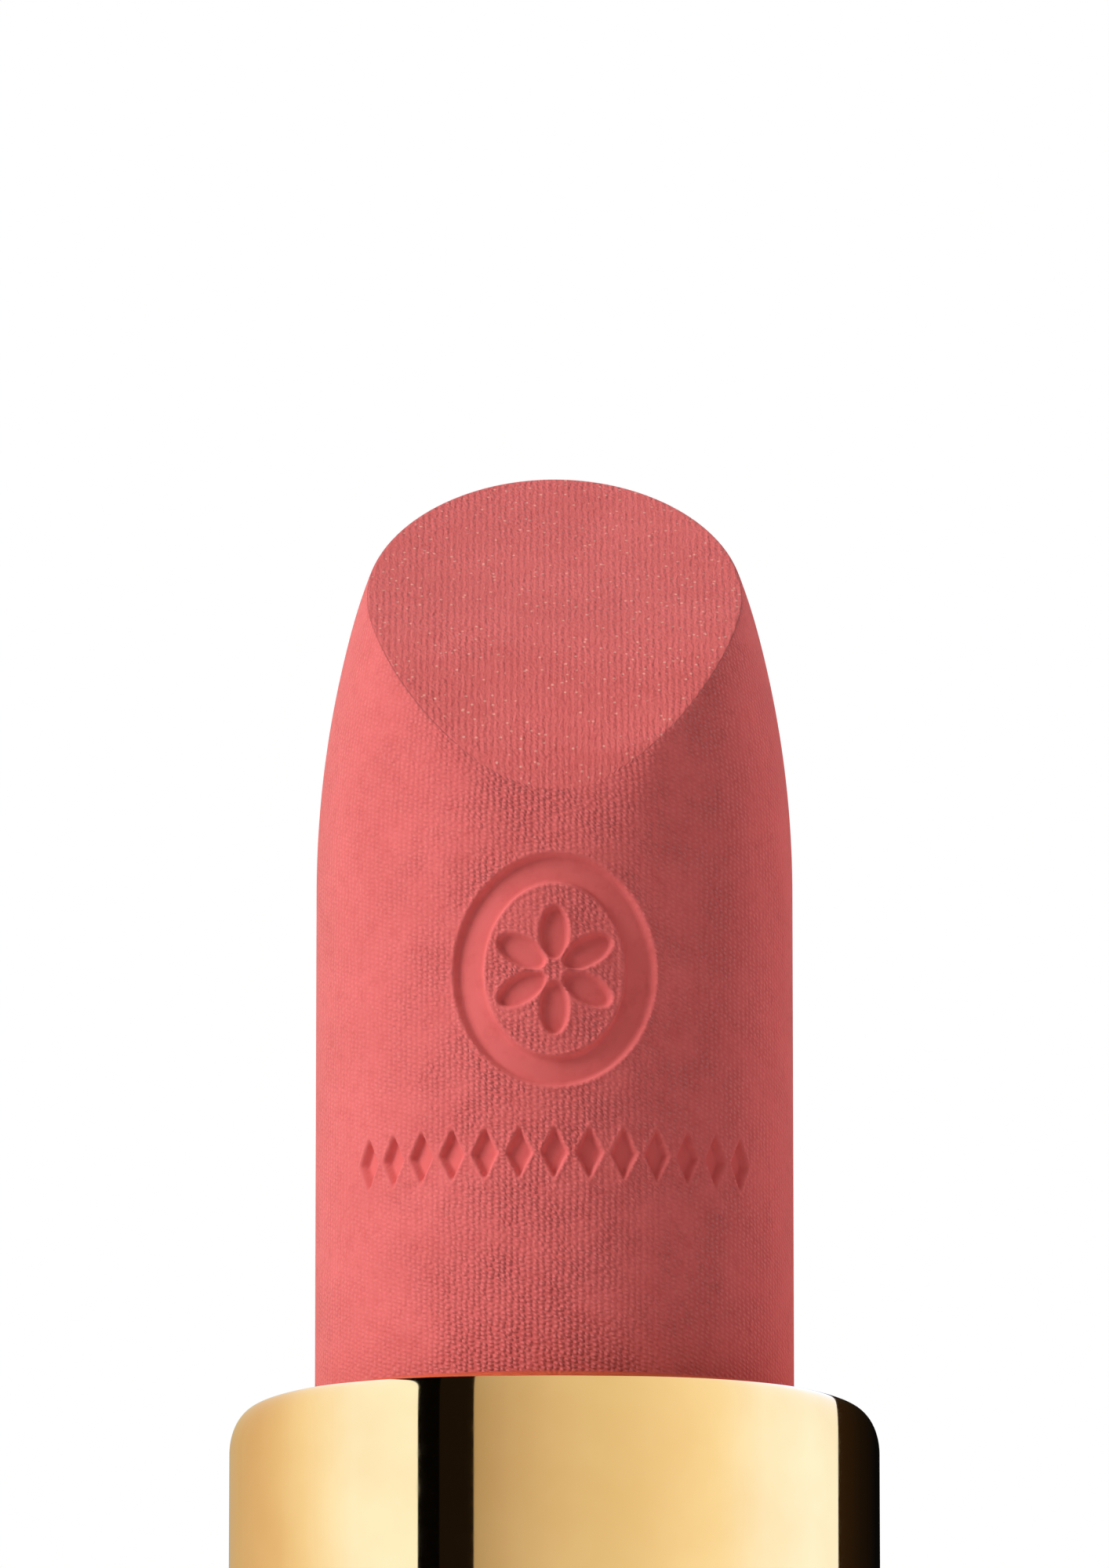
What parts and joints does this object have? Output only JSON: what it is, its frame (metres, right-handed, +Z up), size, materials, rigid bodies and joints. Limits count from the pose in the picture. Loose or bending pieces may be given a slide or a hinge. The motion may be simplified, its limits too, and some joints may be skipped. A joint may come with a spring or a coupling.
{
  "type": "lipstick case",
  "caption": "Twist-up lipstick: round base, turning gold sleeve that raises a slant-faced wax stick on a cam, and a lift-off cap that grips the sleeve.",
  "frame": {"origin": "middle of the base's underside, on the surface that the case stands on, on the case's axis", "axes": "+Z up the case's axis towards the stick's tip; -Y towards the front, which the stick's slanted face looks to; +X to the right, where the cap stands"},
  "size_m": [0.046, 0.034, 0.0747],
  "materials": {
    "black_lacquer": "gloss",
    "black_plastic": "satin",
    "steel": "satin",
    "label": "matte",
    "gold": "polished",
    "ivory_plastic": "satin",
    "natural_plastic": "satin",
    "silicone": "matte",
    "wax": "matte"
  },
  "bodies": {
    "base": {"base_shell": "black_lacquer", "base_insert": "black_plastic", "base_weight": "steel", "shade_label": "label", "trim_ring": "gold", "inner_body": "ivory_plastic", "brake_washer": "silicone"},
    "turning_sleeve": {"sleeve": "gold", "cam_tube": "natural_plastic"},
    "carrier": {"cup": "ivory_plastic", "bullet": "wax"},
    "cap": {"cap_shell": "black_lacquer", "cap_liner": "black_plastic", "cap_weight": "steel", "cap_band": "gold", "cap_top_disc": "gold"}
  },
  "joints": [
    {"name": "sleeve_turn", "type": "hinge", "parent": "base", "child": "turning_sleeve", "pos_m": [0, 0, 0.03], "axis": [0, 0, 1], "range_deg": [0, 720]},
    {"name": "carrier_lift", "type": "slide", "parent": "base", "child": "carrier", "axis": [0, 0, 1], "range_m": [-0.0261, 0.0001]},
    {"name": "cap_lift", "type": "slide", "parent": "base", "child": "cap", "axis": [0, 0, 1], "range_m": [0, 0.1]}
  ],
  "couplings": [
    {"joint": "carrier_lift", "follows": "sleeve_turn", "m_per_rad": -0.002069}
  ]
}
